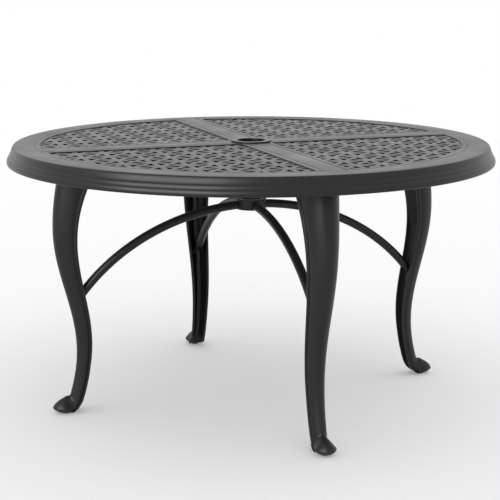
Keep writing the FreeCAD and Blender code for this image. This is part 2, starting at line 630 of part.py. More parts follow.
def make_brace_shape():
    radius = size("brace_radius")
    bolt_turn = math.asin(brace_bolt.x / arch_reach)
    heading = arch_heading(bolt_turn)
    start = math.asin(socket_floor / arch_reach)
    end = bolt_turn + size("fork_end") / heading.Length
    unit_points = [Vector(math.sin(turn), 0, math.cos(turn)) for turn in (start, (start + end) / 2, end)]
    stretch = FreeCAD.Matrix()
    stretch.scale(arch_reach, 1.0, arch_rise)
    stretch.move(Vector(0, 0, arch_height))
    spine = Part.Wire([Part.Arc(*unit_points).toShape().transformGeometry(stretch)])
    section = Part.Wire([Part.makeCircle(radius, arch_point(start), arch_heading(start))])
    bar = spine.makePipeShell([section], True, True)
    cope = Part.makeCylinder(hub_radius + size("hub_gap"), 4 * radius, Vector(0, 0, hub_height - 2 * radius))
    spigot_length = size("socket_depth") + radius
    spigot_foot = Vector(socket_floor + size("hub_gap"), 0, hub_height)
    spigot = Part.makeCylinder(size("brace_spigot_radius"), spigot_length, spigot_foot, Vector(1, 0, 0))
    bar = bar.cut(cope).fuse(spigot)

    slope = math.atan2(-heading.z, heading.x)
    reach_back = size("bolt_edge") + size("fork_clearance") + radius * math.sin(slope)
    slot_back = reach_back / math.cos(slope)
    slot_width = size("rib_thickness") + 2 * size("fork_clearance")
    slot = Part.makeBox(slot_back + 2 * size("fork_end"), slot_width, 4 * radius,
                        Vector(-slot_back, -slot_width / 2, -2 * radius))
    slot.Placement = Placement(brace_bolt, Rotation(Vector(0, 1, 0), math.degrees(slope)))
    hole_radius = size("brace_bolt_radius") + size("screw_clearance")
    bolt_foot = brace_bolt - Vector(0, radius, 0)
    cuts = [slot, Part.makeCylinder(hole_radius, 2 * radius, bolt_foot, Vector(0, 1, 0))]
    for side in (1, -1):
        face = brace_bolt + Vector(0, side * fork_flat, 0)
        seat_radius = size("brace_head_radius") + 4 * size("screw_clearance")
        cuts.append(Part.makeCylinder(seat_radius, radius, face, Vector(0, side, 0)))
    screw_end = hub_screw_seat() + size("hub_screw_length") + size("screw_clearance")
    cuts.append(Part.makeCylinder(hole_radius, screw_end, Vector(0, 0, hub_height), Vector(1, 0, 0)))
    return bar.cut(Part.makeCompound(cuts))


# Hub: a bored collar with four sockets for the braces and a counterbored screw hole behind each

def hub_screw_seat():
    """Radius at which the head of a hub screw bears, inside the hub's wall."""
    return size("hub_bore_radius") + size("brace_head_height") + size("screw_clearance")


def cylinder(name, radius, height, placement):
    piece = doc.addObject("Part::Cylinder", name)
    piece.setExpression("Radius", radius)
    piece.setExpression("Height", height)
    piece.Placement = placement
    return piece


def make_hub():
    tall = "Sizes.hub_rise + Sizes.hub_drop"
    foot = Placement(Vector(0, 0, hub_height - size("hub_drop")), Rotation())
    collar = cylinder("hub_collar", "Sizes.hub_bore_radius + Sizes.hub_wall", tall, foot)
    tools = [cylinder("hub_bore", "Sizes.hub_bore_radius", tall, foot)]
    outward = Rotation(Vector(0, 1, 0), QUARTER)
    for index, side in enumerate(SIDES):
        socket = turned(index).multiply(Placement(Vector(socket_floor, 0, hub_height), outward))
        axis = turned(index).multiply(Placement(Vector(0, 0, hub_height), outward))
        tools.append(cylinder("socket_" + side, "Sizes.brace_spigot_radius + Sizes.brace_clearance",
                              "2 * Sizes.socket_depth", socket))
        tools.append(cylinder("head_seat_" + side, "Sizes.brace_head_radius + Sizes.screw_clearance",
                              "Sizes.hub_bore_radius + Sizes.brace_head_height + Sizes.screw_clearance", axis))
        tools.append(cylinder("screw_hole_" + side, "Sizes.brace_bolt_radius + Sizes.screw_clearance",
                              "Sizes.hub_bore_radius + Sizes.hub_wall", axis))
    cutter = doc.addObject("Part::MultiFuse", "hub_cuts")
    cutter.Shapes = tools
    hub = doc.addObject("Part::Cut", "brace_hub")
    hub.Base = collar
    hub.Tool = cutter
    return hub


# Glide: a round foot on a stem that screws into the toe

def make_glide(index, side):
    body = doc.addObject("PartDesign::Body", "glide_" + side)
    foot = new_sketch(body, "foot_outline_" + side, "XY_Plane")
    draw_circle(foot, "Sizes.glide_radius")
    grow(body, "Pad", "foot_" + side, foot, "Sizes.glide_tall")
    round_edges(body, "foot_rounding_" + side, [("Sizes.glide_radius", "0")], "Sizes.glide_round")
    stem = new_sketch(body, "stem_outline_" + side, "XY_Plane", "Sizes.glide_tall")
    draw_circle(stem, "Sizes.stem_radius")
    grow(body, "Pad", "stem_" + side, stem, "Sizes.stem_length")
    place = Vector(rim_radius - size("glide_inset"), 0, 0)
    body.Placement = turned(index).multiply(Placement(place, Rotation()))
    return body


# Fasteners: one solid each, gathered in one group per kind

def hexagon(flats, height, foot):
    """A hexagonal prism standing on a point."""
    corner = flats / math.sqrt(3)
    turns = [math.radians(60 * step) for step in range(7)]
    points = [foot + Vector(corner * math.cos(turn), corner * math.sin(turn), 0) for turn in turns]
    return Part.Face(Part.makePolygon(points)).extrude(Vector(0, 0, height))


def on_four_sides(solids):
    """Copies of the solids on all four sides, as one group."""
    copies = []
    for index in range(4):
        for solid in solids:
            copy = solid.copy()
            copy.Placement = turned(index).multiply(copy.Placement)
            copies.append(copy)
    return Part.makeCompound(copies)


def make_leg_bolts():
    bolts = []
    for place in leg_bolt_places():
        washer_foot = place - Vector(0, 0, size("plate_thickness") + size("leg_washer_thickness"))
        head_foot = washer_foot - Vector(0, 0, size("leg_head_height"))
        length = place.z + size("leg_bolt_grip") - washer_foot.z
        shank = Part.makeCylinder(size("leg_bolt_radius"), length, washer_foot)
        bolts.append(hexagon(size("leg_head_flats"), size("leg_head_height"), head_foot).fuse(shank))
    return on_four_sides(bolts)


def make_leg_washers():
    washers = []
    for place in leg_bolt_places():
        foot = place - Vector(0, 0, size("plate_thickness") + size("leg_washer_thickness"))
        disc = Part.makeCylinder(size("leg_washer_radius"), size("leg_washer_thickness"), foot)
        hole_radius = size("leg_bolt_radius") + size("screw_clearance")
        washers.append(disc.cut(Part.makeCylinder(hole_radius, size("leg_washer_thickness"), foot)))
    return on_four_sides(washers)


def make_panel_screws():
    screws = []
    for across, along in PANEL_SCREWS:
        foot = Vector(worked_out(across), worked_out(along), underside)
        shank = Part.makeCylinder(size("panel_screw_radius"), seat - underside + size("panel_screw_grip"), foot)
        head = Part.makeCylinder(size("panel_head_radius"), size("panel_head_height"),
                                 foot - Vector(0, 0, size("panel_head_height")))
        screws.append(shank.fuse(head))
    return on_four_sides(screws)


def make_brace_bolts():
    seat_point = brace_bolt + Vector(0, fork_flat, 0)
    head = Part.makeCylinder(size("brace_head_radius"), size("brace_head_height"), seat_point, Vector(0, 1, 0))
    length = 2 * fork_flat + size("brace_head_height")
    shank = Part.makeCylinder(size("brace_bolt_radius"), length, seat_point, Vector(0, -1, 0))
    return on_four_sides([head.fuse(shank)])


def make_brace_nuts():
    nut = hexagon(size("brace_nut_flats"), size("brace_head_height"), Vector())
    hole_radius = size("brace_bolt_radius") + size("screw_clearance")
    nut = nut.cut(Part.makeCylinder(hole_radius, size("brace_head_height")))
    nut.Placement = Placement(brace_bolt - Vector(0, fork_flat, 0), Rotation(Vector(1, 0, 0), QUARTER))
    return on_four_sides([nut])


def make_hub_screws():
    seat_point = Vector(hub_screw_seat(), 0, hub_height)
    head = Part.makeCylinder(size("brace_head_radius"), size("brace_head_height"), seat_point, Vector(-1, 0, 0))
    shank = Part.makeCylinder(size("brace_bolt_radius"), size("hub_screw_length"), seat_point, Vector(1, 0, 0))
    return on_four_sides([head.fuse(shank)])


# Assembly

def shaped(name, shape, placement=None):
    """A sub-part whose shape is worked out above."""
    feature = doc.addObject("Part::Feature", name)
    feature.Shape = shape
    if placement:
        feature.Placement = placement
    return feature


sub_parts = [make_top_frame(), make_umbrella_ring(), make_hub()]
panel_shape = make_panel_shape()
leg_shape = make_leg_shape()
brace_shape = make_brace_shape()
for index, corner in enumerate(CORNERS):
    sub_parts.append(shaped("panel_" + corner, panel_shape, turned(index)))
for index, side in enumerate(SIDES):
    sub_parts.append(shaped("leg_" + side, leg_shape, turned(index)))
    sub_parts.append(shaped("brace_" + side, brace_shape, turned(index)))
    sub_parts.append(make_glide(index, side))
sub_parts.append(shaped("leg_bolts", make_leg_bolts()))
sub_parts.append(shaped("leg_washers", make_leg_washers()))
sub_parts.append(shaped("panel_screws", make_panel_screws()))
sub_parts.append(shaped("brace_bolts", make_brace_bolts()))
sub_parts.append(shaped("brace_nuts", make_brace_nuts()))
sub_parts.append(shaped("hub_screws", make_hub_screws()))
doc.recompute()

failed = [item.Label for item in doc.Objects if "Invalid" in item.State or "Error" in item.State]
if failed:
    raise RuntimeError("failed to build: " + ", ".join(failed))
for part in sub_parts:
    if part.Shape.isNull() or not part.Shape.isValid():
        raise RuntimeError("bad shape: " + part.Label)

os.makedirs("parts", exist_ok=True)
for part in sub_parts:
    print("%-18s solids %2d  volume %.0f" % (part.Label, len(part.Shape.Solids), part.Shape.Volume))
    part.Shape.exportStep("parts/%s.step" % part.Label)
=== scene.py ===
import math

import bmesh
import bpy
import numpy as np
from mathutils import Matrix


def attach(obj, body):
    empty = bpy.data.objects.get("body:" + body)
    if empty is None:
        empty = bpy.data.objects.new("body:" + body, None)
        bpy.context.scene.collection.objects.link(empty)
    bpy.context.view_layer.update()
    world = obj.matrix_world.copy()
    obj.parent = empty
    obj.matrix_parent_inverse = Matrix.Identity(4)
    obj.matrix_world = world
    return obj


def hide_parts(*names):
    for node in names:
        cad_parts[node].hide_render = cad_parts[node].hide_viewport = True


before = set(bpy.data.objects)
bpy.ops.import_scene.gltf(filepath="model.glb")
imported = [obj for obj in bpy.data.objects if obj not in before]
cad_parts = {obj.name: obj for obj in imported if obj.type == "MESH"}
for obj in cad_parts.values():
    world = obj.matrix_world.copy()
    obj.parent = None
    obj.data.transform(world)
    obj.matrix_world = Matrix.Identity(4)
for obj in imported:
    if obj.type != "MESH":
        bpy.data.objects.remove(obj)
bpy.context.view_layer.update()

# Top frame. The round rim with its three-reed edge, the cross of four spokes, the ledges that carry
# the panels and the boss round the umbrella hole are one sand casting in aluminium, powder coated
# charcoal.

MM = 0.001
TOP, SEAT, UNDERSIDE, RIM_FOOT = 578.0, 571.0, 562.0, 541.0
SEAM_RADIUS, LEDGE_RADIUS, LEDGE_BACK = 473.0, 462.0, 481.0
SPOKE_HALF, LEDGE_HALF = 22.5, 33.5
BOSS_BORE, BOSS_RADIUS, BOSS_LEDGE = 35.9, 41.0, 53.0
SPOKE_EDGE, RIM_EDGE = 1.2, 0.4
CHARCOAL = (0.0135, 0.0138, 0.0143)


def arc(centre_across, centre_up, radius, start, end, count):
    """Points round part of a circle in a profile, from one angle to another in degrees."""
    turn = np.radians(np.linspace(start, end, count))
    return np.stack([centre_across + radius * np.cos(turn), centre_up + radius * np.sin(turn)], axis=-1)


def bowed(start, end, rise, count):
    """Points from one place of a profile to another along a shallow bow, a parabola that stands out
    by rise in its middle."""
    start, end = np.array(start), np.array(end)
    share = np.linspace(0.0, 1.0, count)[:, None]
    outward = np.array([start[1] - end[1], end[0] - start[0]]) / np.hypot(*(end - start))
    return start + share * (end - start) + 4 * rise * share * (1 - share) * outward


def whole_turn(count):
    """Angles round a full circle, the last one a step short of the first."""
    return np.linspace(0, 2 * np.pi, count, endpoint=False)


def carried_round(profile, angles):
    """A closed profile of radius and height carried round the table's axis and back to its start."""
    loop = np.concatenate([profile, profile[:1]])
    radius, height = loop[:, :1], loop[:, 1:]
    return np.stack([radius * np.cos(angles), radius * np.sin(angles), height + 0 * angles], axis=-1)


def turned(rows, quarter):
    """The same points turned about the table's axis by a number of quarter turns."""
    cosine, sine = ((1, 0), (0, 1), (-1, 0), (0, -1))[quarter]
    return rows @ np.array([[cosine, sine, 0], [-sine, cosine, 0], [0, 0, 1]], float)


def grid_faces(rows, columns):
    """Corner numbers of the quads of a grid whose columns run round and meet again."""
    row, column = np.meshgrid(np.arange(rows - 1), np.arange(columns), indexing="ij")
    after = (column + 1) % columns
    quads = np.stack([row * columns + column, row * columns + after,
                      (row + 1) * columns + after, (row + 1) * columns + column], axis=-1)
    return quads.reshape(-1, 4)


def facing_out(points, quads):
    """The quads turned so that the space they close has a volume above zero."""
    corner = [points[quads[:, side]] for side in range(4)]
    normal = np.cross(corner[1], corner[2]) + np.cross(corner[2], corner[3])
    volume = np.einsum("ij,ij->", corner[0], normal)
    return quads if volume > 0 else quads[:, ::-1]


def added(name, data):
    """A new object at the origin, linked into the scene."""
    item = bpy.data.objects.new(name, data)
    bpy.context.scene.collection.objects.link(item)
    return item


def mesh_piece(name, grids):
    """One object from closed grids of points in mm. Doubled points are merged, and edges sharper than
    the crease angle are shaded sharp."""
    merge, crease = 0.002 * MM, 35.0
    points, faces, start = [], [], 0
    for rows in grids:
        flat = np.asarray(rows, float).reshape(-1, 3)
        quads = grid_faces(rows.shape[0], rows.shape[1])
        faces.append(facing_out(flat - flat.mean(axis=0), quads) + start)
        points.append(flat * MM)
        start += len(flat)
    mesh = bpy.data.meshes.new(name)
    mesh.from_pydata(np.concatenate(points), [], np.concatenate(faces))
    merged = bmesh.new()
    merged.from_mesh(mesh)
    bmesh.ops.remove_doubles(merged, verts=merged.verts, dist=merge)
    bmesh.ops.dissolve_degenerate(merged, edges=merged.edges, dist=merge)
    merged.to_mesh(mesh)
    merged.free()
    mesh.shade_smooth()
    mesh.set_sharp_from_angle(angle=math.radians(crease))
    return added(name, mesh)


def rim_profile():
    """The rim from the rounded lip down three bowed reeds, each set out from the one above by a small
    step, and back along the underside and the ledge. Places are radius and height."""
    lip_reach, lip_round, foot_round, low_reed = 517.0, 4.0, 2.3, 533.35
    skirt_foot, skirt_root = 526.3, 515.0
    reeds = [((520.4, 576.2), (524.5, 563.8), 0.85, 13),
             ((525.4, 563.1), (528.9, 555.0), 0.75, 11),
             ((530.0, 554.2), (low_reed, 546.5), 0.7, 11)]
    lip = arc(lip_reach, TOP - lip_round, lip_round, 90, 38, 6)
    foot = arc(low_reed - foot_round, RIM_FOOT + foot_round, foot_round, 0, -90, 7)
    inside = [(skirt_foot, RIM_FOOT), (skirt_root, SEAT), (LEDGE_BACK, SEAT), (LEDGE_BACK, UNDERSIDE),
              (LEDGE_RADIUS, UNDERSIDE), (LEDGE_RADIUS, SEAT), (SEAM_RADIUS, SEAT)]
    return np.concatenate([lip] + [bowed(*reed) for reed in reeds] + [foot, np.array(inside)])


def rim_rows():
    """The rim's profile carried round, with a seam edge that is rounded between the spokes and runs
    square into them."""
    fade = 0.0018
    spoke_turn = math.asin(SPOKE_HALF / SEAM_RADIUS)
    spoke_edge = spoke_turn + np.array([-0.002, 0.0, 0.0006, 0.0012, fade])
    quarter = np.concatenate([spoke_edge, np.linspace(spoke_turn, np.pi / 2 - spoke_turn, 90)[1:-1],
                              np.pi / 2 - spoke_edge, [0.0]])
    angles = np.unique(np.concatenate([quarter + side * np.pi / 2 for side in range(4)]) % (2 * np.pi))
    off_spoke = np.abs((angles + np.pi / 4) % (np.pi / 2) - np.pi / 4) - spoke_turn
    edge = RIM_EDGE * np.clip(off_spoke / fade, 0.0, 1.0)
    turn = np.radians(np.linspace(180, 90, 5))[:, None]
    seam_radius = SEAM_RADIUS + edge * (1 + np.cos(turn))
    seam_height = TOP - edge * (1 - np.sin(turn))
    seam = np.stack([seam_radius * np.cos(angles), seam_radius * np.sin(angles), seam_height], axis=-1)
    rest = carried_round(rim_profile(), angles)[:-1]
    return np.concatenate([seam, rest, seam[:1]])


def bar_section(half_width, edge, foot, top, count):
    """Places across and up round a bar's section: two upright sides and a flat top whose edges are
    quarter circles."""
    corner = arc(half_width - edge, top - edge, edge, 0, 90, count)
    across = np.concatenate([[half_width], corner[:, 0], -corner[::-1, 0], [-half_width]])
    up = np.concatenate([[foot], corner[:, 1], corner[::-1, 1], [foot]])
    return across, up


def spoke_rows(half_width, start, end, foot, top):
    """A straight bar on +X between two circles about the table's axis, with rounded upper edges."""
    across, up = bar_section(half_width, SPOKE_EDGE, foot, top, 5)
    inner = np.stack([np.sqrt(start ** 2 - across ** 2), across, up], axis=-1)
    outer = np.stack([np.sqrt(end ** 2 - across ** 2), across, up], axis=-1)
    share = np.linspace(0.0, 1.0, 25)[:, None, None]
    rows = inner + share * (outer - inner)
    shut = [1, 0, 1]
    return np.concatenate([rows[:1] * shut, rows, rows[-1:] * shut])


def boss_rows():
    """The boss and its ledge, turned round the umbrella hole."""
    profile = np.concatenate([
        [(BOSS_BORE, UNDERSIDE)],
        arc(BOSS_BORE + RIM_EDGE, TOP - RIM_EDGE, RIM_EDGE, 180, 90, 5),
        [(BOSS_RADIUS, TOP), (BOSS_RADIUS, SEAT), (BOSS_LEDGE, SEAT), (BOSS_LEDGE, UNDERSIDE)],
    ])
    return carried_round(profile, whole_turn(128))


def ranged(tree, value, span, result):
    """A value in a node tree carried from one span of numbers to another."""
    node = tree.nodes.new("ShaderNodeMapRange")
    for name, number in zip(("From Min", "From Max", "To Min", "To Max"), (*span, *result)):
        node.inputs[name].default_value = number
    tree.links.new(value, node.inputs["Value"])
    return node


def powder_coat_group():
    """Colour, roughness and height of a powder coat: fine stipple, a slower orange peel and faint
    patches where the coat lies thicker."""
    group = bpy.data.node_groups.new("powder_coat", "ShaderNodeTree")
    face = group.interface
    for name, kind, value in (("Coat Colour", "NodeSocketColor", (0.03, 0.03, 0.031, 1)),
                              ("Stipple Size", "NodeSocketFloat", 900.0),
                              ("Roughness", "NodeSocketFloat", 0.4)):
        face.new_socket(name, in_out="INPUT", socket_type=kind).default_value = value
    for name, kind in (("Colour", "NodeSocketColor"), ("Roughness", "NodeSocketFloat"),
                       ("Height", "NodeSocketFloat")):
        face.new_socket(name, in_out="OUTPUT", socket_type=kind)
    nodes, links = group.nodes, group.links
    given = nodes.new("NodeGroupInput")
    result = nodes.new("NodeGroupOutput")
    place = nodes.new("ShaderNodeTexCoord")
    stipple = nodes.new("ShaderNodeTexNoise")
    stipple.inputs["Detail"].default_value = 2.0
    peel = nodes.new("ShaderNodeTexNoise")
    peel.inputs["Scale"].default_value = 160.0
    patch = nodes.new("ShaderNodeTexNoise")
    patch.inputs["Scale"].default_value = 9.0
    patch.inputs["Detail"].default_value = 3.0
    for texture in (stipple, peel, patch):
        links.new(place.outputs["Object"], texture.inputs["Vector"])
    links.new(given.outputs["Stipple Size"], stipple.inputs["Scale"])

    noise_span = (0.3, 0.7)
    tint = ranged(group, stipple.outputs["Fac"], noise_span, (0.82, 1.18))
    shade = nodes.new("ShaderNodeVectorMath")
    shade.operation = "SCALE"
    links.new(given.outputs["Coat Colour"], shade.inputs[0])
    links.new(tint.outputs["Result"], shade.inputs["Scale"])
    links.new(shade.outputs["Vector"], result.inputs["Colour"])

    gloss = ranged(group, patch.outputs["Fac"], noise_span, (-0.04, 0.04))
    rough = nodes.new("ShaderNodeMath")
    links.new(given.outputs["Roughness"], rough.inputs[0])
    links.new(gloss.outputs["Result"], rough.inputs[1])
    links.new(rough.outputs["Value"], result.inputs["Roughness"])

    height = nodes.new("ShaderNodeMath")
    height.operation = "MULTIPLY_ADD"
    height.inputs[1].default_value = 0.5
    links.new(stipple.outputs["Fac"], height.inputs[0])
    links.new(peel.outputs["Fac"], height.inputs[2])
    links.new(height.outputs["Value"], result.inputs["Height"])
    return group


powder_coat = powder_coat_group()


def coated(name, colour, roughness, stipple=900.0, bump=0.12, ior=1.33):
    """A powder coat over cast aluminium, or a moulded plastic with the same kind of fine grain."""
    finish = bpy.data.materials.new(name)
    finish.use_nodes = True
    nodes, links = finish.node_tree.nodes, finish.node_tree.links
    shader = nodes["Principled BSDF"]
    shader.inputs["IOR"].default_value = ior
    coat = nodes.new("ShaderNodeGroup")
    coat.node_tree = powder_coat
    coat.inputs["Coat Colour"].default_value = (*colour, 1)
    coat.inputs["Stipple Size"].default_value = stipple
    coat.inputs["Roughness"].default_value = roughness
    relief = nodes.new("ShaderNodeBump")
    relief.inputs["Strength"].default_value = bump
    relief.inputs["Distance"].default_value = 0.0004
    links.new(coat.outputs["Colour"], shader.inputs["Base Color"])
    links.new(coat.outputs["Roughness"], shader.inputs["Roughness"])
    links.new(coat.outputs["Height"], relief.inputs["Height"])
    links.new(relief.outputs["Normal"], shader.inputs["Normal"])
    return finish


def placed(piece, finish, slot, body, *nodes):
    """Finish a piece, ride it on its body and let it stand for its solids."""
    piece.data.materials.append(finish)
    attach(piece, body)
    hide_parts(*nodes)


frame_finish = coated("frame_charcoal_coat", CHARCOAL, 0.32)
spoke = spoke_rows(SPOKE_HALF, BOSS_RADIUS, SEAM_RADIUS, SEAT, TOP)
ledge = spoke_rows(LEDGE_HALF, BOSS_LEDGE, LEDGE_RADIUS, UNDERSIDE, SEAT)
cross = [turned(bar, quarter) for bar in (spoke, ledge) for quarter in range(4)]
top_frame = mesh_piece("top_frame_casting", [rim_rows(), boss_rows()] + cross)
placed(top_frame, frame_finish, "powder_coat", "table", "top_frame")

# Lattice panels. Each quarter of the top is a thin cast plate with a flat border and a sunken lattice
# of squares and both diagonals. It drops onto the ledges of the frame and is screwed up from below.

CORNERS = ("back_right", "back_left", "front_left", "front_right")
SPOKE_GAP, RIM_GAP, BORDER, LAND = 1.3, 0.5, 11.2, 1.5
LATTICE_TOP, LATTICE_FOOT = TOP - 1.5, SEAT
PITCH, FIRST_BAR = 56.2, 69.0
BAR_HALF, BAR_EDGE, DIAGONAL_HALF, DIAGONAL_EDGE = 5.9, 0.6, 5.3, 0.2
WEB_RADIUS, WEB_EDGE = 14.5, 0.2


def quarter_loop(inset, height, corner_round=None):
    """A loop round a quarter of the top, drawn in from the seam: along one spoke, round the rim,
    back along the other spoke, and round the boss or a small inside corner."""
    near = SPOKE_HALF + SPOKE_GAP + inset
    far = SEAM_RADIUS - RIM_GAP - inset
    reach = math.sqrt(far ** 2 - near ** 2)
    if corner_round is None:
        boss = BOSS_RADIUS + SPOKE_GAP + inset
        start = math.sqrt(boss ** 2 - near ** 2)
        turn = math.degrees(math.asin(near / boss))
        corner = arc(0, 0, boss, 90 - turn, turn, 13)
    else:
        start = near + corner_round
        corner = arc(start, start, corner_round, 180, 270, 13)
    turn = math.degrees(math.asin(near / far))
    rim = arc(0, 0, far, turn, 90 - turn, 80)
    share = np.linspace(0.0, 1.0, 30)
    run = np.stack([start + (reach - start) * share, near + 0 * share], axis=-1)
    loop = np.concatenate([run[:-1], rim, run[::-1, ::-1][1:], corner[1:-1]])
    return np.concatenate([loop, np.full((len(loop), 1), height)], axis=1)


def border_rows():
    """The flat border of a panel with a rounded outer edge, a soft inner edge and a narrow land at
    the level of the lattice."""
    soft, inside_corner, land_edge = 0.6, 3.0, 0.5
    turns = np.linspace(0, np.pi / 2, 4)
    outside = [(0.0, SEAT)]
    outside += [(soft * (1 - math.cos(turn)), TOP - soft * (1 - math.sin(turn))) for turn in turns]
    inside = [(BORDER - soft * (1 - math.sin(turn)), TOP - soft * (1 - math.cos(turn))) for turn in turns]
    inside += [(BORDER, LATTICE_TOP), (BORDER + LAND - land_edge, LATTICE_TOP),
               (BORDER + LAND, LATTICE_TOP - land_edge), (BORDER + LAND, SEAT)]
    outer = [quarter_loop(inset, height) for inset, height in outside]
    inner = [quarter_loop(inset, height, inside_corner) for inset, height in inside]
    return np.stack(outer + inner + outer[:1])


def bar_rows(start, end, half_width, edge, top):
    """A straight bar of the lattice between two points, with rounded upper edges and shut ends."""
    foot = LATTICE_FOOT + LATTICE_TOP - top
    across, up = bar_section(half_width, edge, foot, top, 6)
    start, end = np.array(start), np.array(end)
    along = (end - start) / np.hypot(*(end - start))
    side = np.array([-along[1], along[0]])
    rows = []
    for point, spread in ((start, 0.0), (start, 1.0), (end, 1.0), (end, 0.0)):
        plan = point + spread * across[:, None] * side
        rows.append(np.concatenate([plan, up[:, None]], axis=1))
    return np.stack(rows)


def web_rows(centre, radius, top):
    """The round web that fills the sharp corners where eight bars meet, a disc with a rounded edge."""
    foot = LATTICE_FOOT + LATTICE_TOP - top
    profile = np.concatenate([[(0.0, foot), (radius, foot)],
                              arc(radius - WEB_EDGE, top - WEB_EDGE, WEB_EDGE, 0, 90, 3), [(0.0, top)]])
    return carried_round(profile, whole_turn(32)) + [*centre, 0.0]


def lattice_bars():
    """Every bar of one lattice, cut to length a little inside the border. Lines at a steady pitch run
    along both spokes, and diagonals run through the crossings. Each of the four directions, and then
    the webs, has its top a hair lower and its foot a hair higher than the one before."""
    bury, drop = 4.0, 0.03
    slant = (DIAGONAL_HALF, DIAGONAL_EDGE, LATTICE_TOP - 2 * drop)
    back_slant = (DIAGONAL_HALF, DIAGONAL_EDGE, LATTICE_TOP - 3 * drop)
    near = SPOKE_HALF + SPOKE_GAP + BORDER - bury
    far = SEAM_RADIUS - RIM_GAP - BORDER + bury
    bars = []
    for place in np.arange(FIRST_BAR, far - bury, PITCH):
        reach = math.sqrt(far ** 2 - place ** 2)
        bars.append(bar_rows((near, place), (reach, place), BAR_HALF, BAR_EDGE, LATTICE_TOP))
        bars.append(bar_rows((place, near), (place, reach), BAR_HALF, BAR_EDGE, LATTICE_TOP - drop))
    for shift in np.arange(0.0, far, PITCH):
        middle = math.sqrt(2 * far ** 2 - shift ** 2)
        low, high = (middle - shift) / 2, (middle + shift) / 2
        if low > near + 2 * bury:
            bars.append(bar_rows((near, near + shift), (low, high), *slant))
            if shift > 0:
                bars.append(bar_rows((near + shift, near), (high, low), *slant))
    for total in np.arange(2 * FIRST_BAR - PITCH, far * math.sqrt(2), PITCH):
        spread = total - 2 * near
        if total > far:
            spread = min(spread, math.sqrt(2 * far ** 2 - total ** 2))
        if spread > 2 * bury:
            low, high = (total - spread) / 2, (total + spread) / 2
            bars.append(bar_rows((low, high), (high, low), *back_slant))
    places = np.arange(FIRST_BAR, far, PITCH)
    crossings = np.stack(np.meshgrid(places, places), axis=-1).reshape(-1, 2)
    for crossing in crossings[np.hypot(*crossings.T) < far]:
        radius = min(WEB_RADIUS, far + bury - math.hypot(*crossing))
        bars.append(web_rows(crossing, radius, LATTICE_TOP - 4 * drop))
    return bars


def paint_shade_on_walls(panel, finish):
    """Give the upright walls of holes and seams a near-black, dull finish of their own. This is painted
    shade standing in for the shadow deep inside the holes. A face is a wall where its normal is nearly
    level."""
    level = 0.25
    panel.data.materials.append(finish)
    normals = np.empty(3 * len(panel.data.polygons), np.float32)
    panel.data.polygons.foreach_get("normal", normals)
    panel.data.polygons.foreach_set("material_index", (np.abs(normals[2::3]) < level).astype(np.int32))


lattice_finish = coated("lattice_charcoal_coat", CHARCOAL, 0.32)
# Near-black, dull finish for the hole walls: painted shade in place of the shadow inside the holes, not a
# real coat.
painted_shade_finish = coated("painted_shade_in_the_holes", (0.004, 0.004, 0.0042), 0.6, ior=1.12)
panel_shape = [border_rows()] + lattice_bars()
for quarter, corner in enumerate(CORNERS):
    panel = mesh_piece("lattice_panel_" + corner, [turned(rows, quarter) for rows in panel_shape])
    placed(panel, lattice_finish, "lattice_coat", "table", "panel_" + corner)
    # The upright wall faces take the painted-shade finish.
    paint_shade_on_walls(panel, painted_shade_finish)

# Umbrella ring. A loose cast aluminium collar that drops into the boss, in a darker and smoother coat
# than the frame. Its flange lies on the top and its neck lines the hole for the pole.

RING_BORE, RING_NECK, RING_FLANGE, RING_TOP, RING_FOOT = 31.0, 35.5, 44.4, 581.0, 558.0
RING_ROUND, NECK_ROUND, FLANGE_GAP = 0.5, 0.8, 0.05
ring_profile = np.concatenate([
    arc(RING_BORE + RING_ROUND, RING_TOP - RING_ROUND, RING_ROUND, 180, 90, 7),
    arc(RING_FLANGE - RING_ROUND, RING_TOP - RING_ROUND, RING_ROUND, 90, 0, 7),
    [(RING_FLANGE, TOP + FLANGE_GAP), (RING_NECK, TOP + FLANGE_GAP)],
    arc(RING_NECK - NECK_ROUND, RING_FOOT + NECK_ROUND, NECK_ROUND, 0, -90, 5),
    arc(RING_BORE + NECK_ROUND, RING_FOOT + NECK_ROUND, NECK_ROUND, 270, 180, 5),
])
ring = mesh_piece("umbrella_collar", [carried_round(ring_profile, whole_turn(160))])
ring_finish = coated("ring_dark_coat", (0.006, 0.006, 0.006), 0.30, stipple=1400.0, bump=0.05)
placed(ring, ring_finish, "ring_coat", "ring", "umbrella_ring")

# Legs. Four S-curved cast aluminium legs, each an open half-round channel with a bead along both
# edges, a rib down its middle and a pad toe. They are powder coated charcoal, and the plate at the
# top of each is bolted up under a spoke of the table top.

SIDES = ("right", "back", "left", "front")
LEG_FOOT, ANKLE, BOLT_HEIGHT, KNEE, LEG_TOP = 3.0, 141.0, 251.7, 405.5, 562.0
TOE_REACH, TOE_LENGTH, TOE_WIDTH, TOE_BRIM, TOE_RISE = 429.0, 30.3, 21.3, 14.0, 23.0


